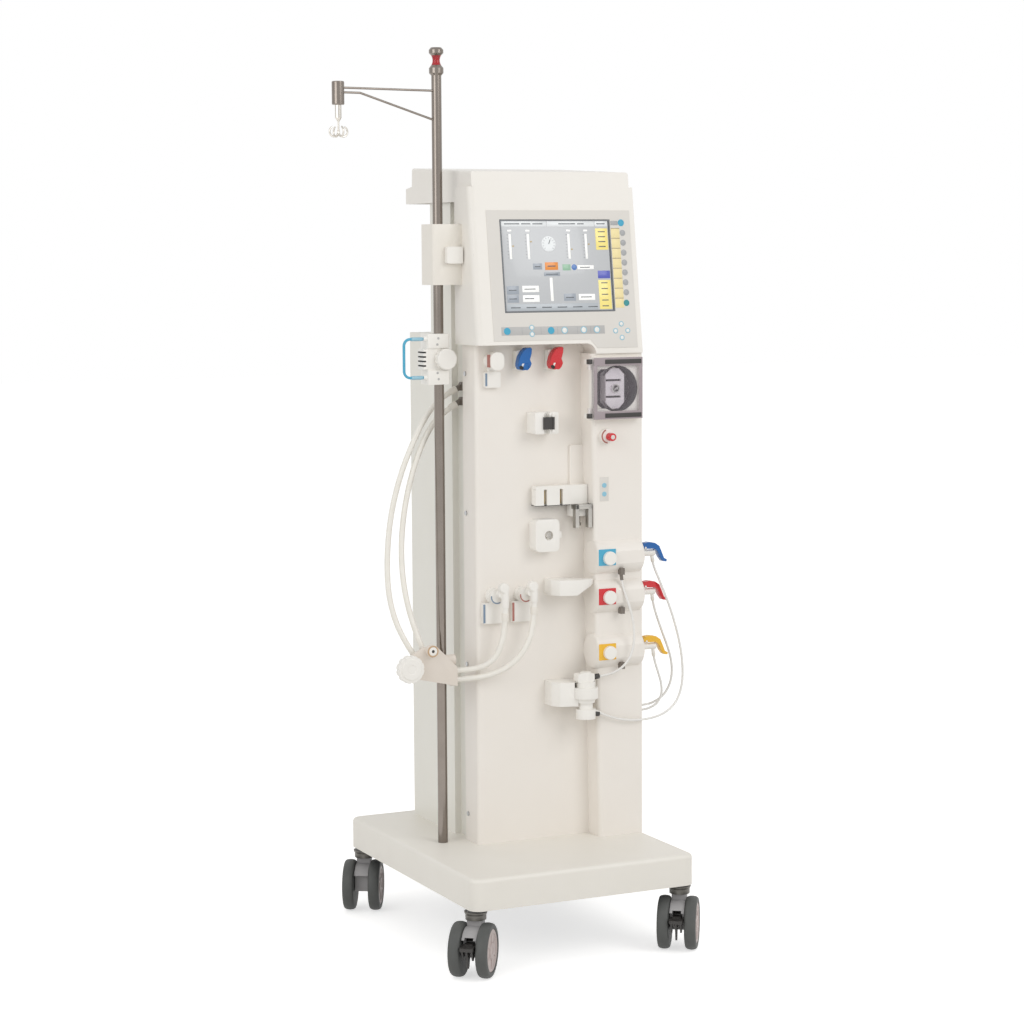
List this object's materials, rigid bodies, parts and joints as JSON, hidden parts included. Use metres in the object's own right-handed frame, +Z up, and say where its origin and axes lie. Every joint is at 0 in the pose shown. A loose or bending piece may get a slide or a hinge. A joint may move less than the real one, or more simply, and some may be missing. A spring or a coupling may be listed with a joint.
{
  "type": "haemodialysis machine",
  "caption": "Upright medical dialysis cabinet on castors with a tilted touch screen head, blood pump, line clamps, concentrate connectors, fluid hoses and an infusion pole.",
  "frame": {"origin": "on the floor, under the middle of the rectangular base", "axes": "+Z up; -Y towards the user, where the screen faces; +X to the right of a user facing the screen"},
  "size_m": [0.6779, 0.6234, 1.61],
  "materials": {
    "cover_cream": "satin",
    "panel_cream": "satin",
    "base_cream": "satin",
    "frame_steel": "matt",
    "head_cream": "satin",
    "screen_glass": "glossy",
    "keypad_film": "satin",
    "zinc_screw": "plain",
    "pole_steel": "polished",
    "lamp_red": "glossy",
    "grey_plastic": "satin",
    "white_plastic": "satin",
    "dark_plastic": "satin",
    "cyan_plastic": "glossy",
    "blue_plastic": "glossy",
    "red_plastic": "glossy",
    "yellow_plastic": "glossy",
    "door_clear": "glossy",
    "rotor_lilac": "glossy",
    "steel": "brushed",
    "castor_grey": "satin",
    "wheel_tread": "matt",
    "hose_silicone": "translucent",
    "tube_clear": "translucent"
  },
  "bodies": {
    "machine": {"base_cover": "base_cream", "chassis": "frame_steel", "front_cover": "cover_cream", "side_panels": "panel_cream", "rear_cover": "panel_cream", "top_cover": "head_cream", "head_housing": "head_cream", "panel_screws": "zinc_screw", "screen": "screen_glass", "keypad_overlay": "keypad_film", "pole_bracket": "white_plastic", "hose_clamp_body": "grey_plastic", "pump_housing": "grey_plastic", "pump_motor": "steel", "line_clamp_bases": "white_plastic", "front_ports": "white_plastic", "couplings": "grey_plastic", "air_detector": "white_plastic", "sensor_bar": "white_plastic", "cartridge_holder": "white_plastic", "concentrate_connectors": "grey_plastic", "hydraulics_block": "grey_plastic", "power_supply": "frame_steel", "hose_ports": "white_plastic", "outer_hose": "hose_silicone", "inner_hose": "hose_silicone", "blue_tube": "tube_clear", "red_tube": "tube_clear", "yellow_tube": "tube_clear", "cartridge_tube": "tube_clear"},
    "pole": {"iv_pole": "pole_steel", "lamp_lens": "lamp_red"},
    "hook": {"hook": "pole_steel"},
    "latch": {"bracket_latch": "white_plastic"},
    "holder": {"holder_body": "white_plastic"},
    "holder_knob": {"holder_knob": "white_plastic"},
    "bail": {"holder_bail": "cyan_plastic"},
    "hose_clamp_knob": {"hose_clamp_knob": "grey_plastic"},
    "pump_door": {"pump_door": "door_clear"},
    "rotor": {"pump_rotor": "rotor_lilac"},
    "roller_a": {"pump_roller_a": "white_plastic"},
    "roller_b": {"pump_roller_b": "white_plastic"},
    "lever_blue": {"line_clamp_lever_blue": "blue_plastic"},
    "lever_red": {"line_clamp_lever_red": "red_plastic"},
    "detector_door": {"detector_door": "dark_plastic"},
    "plunger": {"clamp_plunger": "steel"},
    "pressure_cap": {"pressure_cap": "red_plastic"},
    "station_blue": {"station_lever_blue": "blue_plastic"},
    "station_red": {"station_lever_red": "red_plastic"},
    "station_yellow": {"station_lever_yellow": "yellow_plastic"},
    "castor_fl": {"castor_hood_fl": "castor_grey"},
    "wheels_fl": {"castor_wheels_fl": "wheel_tread"},
    "pedal_fl": {"brake_pedal_fl": "dark_plastic"},
    "castor_fr": {"castor_hood_fr": "castor_grey"},
    "wheels_fr": {"castor_wheels_fr": "wheel_tread"},
    "pedal_fr": {"brake_pedal_fr": "dark_plastic"},
    "castor_rl": {"castor_hood_rl": "castor_grey"},
    "wheels_rl": {"castor_wheels_rl": "wheel_tread"},
    "castor_rr": {"castor_hood_rr": "castor_grey"},
    "wheels_rr": {"castor_wheels_rr": "wheel_tread"}
  },
  "joints": [
    {"name": "castor_swivel_fl", "type": "hinge", "parent": "machine", "child": "castor_fl", "pos_m": [-0.202, -0.256, 0.11], "axis": [0, 0, 1], "continuous": true},
    {"name": "castor_roll_fl", "type": "hinge", "parent": "castor_fl", "child": "wheels_fl", "pos_m": [-0.21459, -0.27154, 0.048], "axis": [0.7771, -0.6293, 0], "continuous": true},
    {"name": "brake_pedal_fl", "type": "hinge", "parent": "castor_fl", "child": "pedal_fl", "pos_m": [-0.22088, -0.27931, 0.064], "axis": [0.7771, -0.6293, 0], "range_deg": [0, 12]},
    {"name": "castor_swivel_fr", "type": "hinge", "parent": "machine", "child": "castor_fr", "pos_m": [0.202, -0.256, 0.11], "axis": [0, 0, 1], "continuous": true},
    {"name": "castor_roll_fr", "type": "hinge", "parent": "castor_fr", "child": "wheels_fr", "pos_m": [0.19053, -0.27238, 0.048], "axis": [0.8192, -0.5736, 0], "continuous": true},
    {"name": "brake_pedal_fr", "type": "hinge", "parent": "castor_fr", "child": "pedal_fr", "pos_m": [0.18479, -0.28058, 0.064], "axis": [0.8192, -0.5736, 0], "range_deg": [0, 12]},
    {"name": "castor_swivel_rl", "type": "hinge", "parent": "machine", "child": "castor_rl", "pos_m": [-0.202, 0.256, 0.11], "axis": [0, 0, 1], "continuous": true},
    {"name": "castor_roll_rl", "type": "hinge", "parent": "castor_rl", "child": "wheels_rl", "pos_m": [-0.212, 0.23868, 0.048], "axis": [0.866, -0.5, 0], "continuous": true},
    {"name": "castor_swivel_rr", "type": "hinge", "parent": "machine", "child": "castor_rr", "pos_m": [0.202, 0.256, 0.11], "axis": [0, 0, 1], "continuous": true},
    {"name": "castor_roll_rr", "type": "hinge", "parent": "castor_rr", "child": "wheels_rr", "pos_m": [0.192, 0.23868, 0.048], "axis": [0.866, -0.5, 0], "continuous": true},
    {"name": "pole_swivel", "type": "hinge", "parent": "machine", "child": "pole", "pos_m": [-0.147, 0.007, 0.8], "axis": [0, 0, 1], "continuous": true},
    {"name": "hook_swivel", "type": "hinge", "parent": "pole", "child": "hook", "pos_m": [-0.34529, -0.01911, 1.5], "axis": [0, 0, 1], "continuous": true},
    {"name": "latch_pull", "type": "slide", "parent": "machine", "child": "latch", "axis": [0, -1, 0], "range_m": [0, 0.006], "stiffness_N_per_m": 300},
    {"name": "holder_slide", "type": "slide", "parent": "machine", "child": "holder", "axis": [0, 0, 1], "range_m": [-0.2, 0.08]},
    {"name": "holder_knob_turn", "type": "hinge", "parent": "holder", "child": "holder_knob", "pos_m": [-0.143, -0.02, 1.0575], "axis": [0, 1, 0], "range_deg": [-270, 0]},
    {"name": "bail_pull", "type": "slide", "parent": "holder", "child": "bail", "axis": [-1, 0, 0], "range_m": [0, 0.02]},
    {"name": "hose_clamp_knob_turn", "type": "hinge", "parent": "machine", "child": "hose_clamp_knob", "pos_m": [-0.24, -0.066, 0.51], "axis": [0, 1, 0], "range_deg": [-270, 0]},
    {"name": "pump_door_hinge", "type": "hinge", "parent": "machine", "child": "pump_door", "pos_m": [0.1022, -0.1, 1], "axis": [0, 0, 1], "range_deg": [-110, 0]},
    {"name": "rotor_spin", "type": "hinge", "parent": "machine", "child": "rotor", "pos_m": [0.16, -0.08, 1], "axis": [0, 1, 0], "continuous": true},
    {"name": "roller_a_spin", "type": "hinge", "parent": "rotor", "child": "roller_a", "pos_m": [0.16, -0.08, 1.032], "axis": [0, 1, 0], "continuous": true},
    {"name": "roller_b_spin", "type": "hinge", "parent": "rotor", "child": "roller_b", "pos_m": [0.16, -0.08, 0.968], "axis": [0, 1, 0], "continuous": true},
    {"name": "line_clamp_blue", "type": "hinge", "parent": "machine", "child": "lever_blue", "pos_m": [-0.018, -0.068, 1.046], "axis": [0, 1, 0], "range_deg": [0, 50]},
    {"name": "line_clamp_red", "type": "hinge", "parent": "machine", "child": "lever_red", "pos_m": [0.045, -0.068, 1.046], "axis": [0, 1, 0], "range_deg": [0, 50]},
    {"name": "detector_door_hinge", "type": "hinge", "parent": "machine", "child": "detector_door", "pos_m": [0.038, -0.0829, 0.94], "axis": [0, 0, 1], "range_deg": [0, 110]},
    {"name": "plunger_press", "type": "slide", "parent": "machine", "child": "plunger", "axis": [0, 0, 1], "range_m": [0, 0.006], "stiffness_N_per_m": 200},
    {"name": "pressure_cap_pull", "type": "slide", "parent": "machine", "child": "pressure_cap", "axis": [0, -1, 0], "range_m": [0, 0.03]},
    {"name": "station_blue_lift", "type": "hinge", "parent": "machine", "child": "station_blue", "pos_m": [0.232, -0.066, 0.7025], "axis": [0, 1, 0], "range_deg": [-40, 0]},
    {"name": "station_red_lift", "type": "hinge", "parent": "machine", "child": "station_red", "pos_m": [0.232, -0.066, 0.6305], "axis": [0, 1, 0], "range_deg": [-40, 0]},
    {"name": "station_yellow_lift", "type": "hinge", "parent": "machine", "child": "station_yellow", "pos_m": [0.232, -0.07, 0.5285], "axis": [0, 1, 0], "range_deg": [-40, 0]}
  ]
}
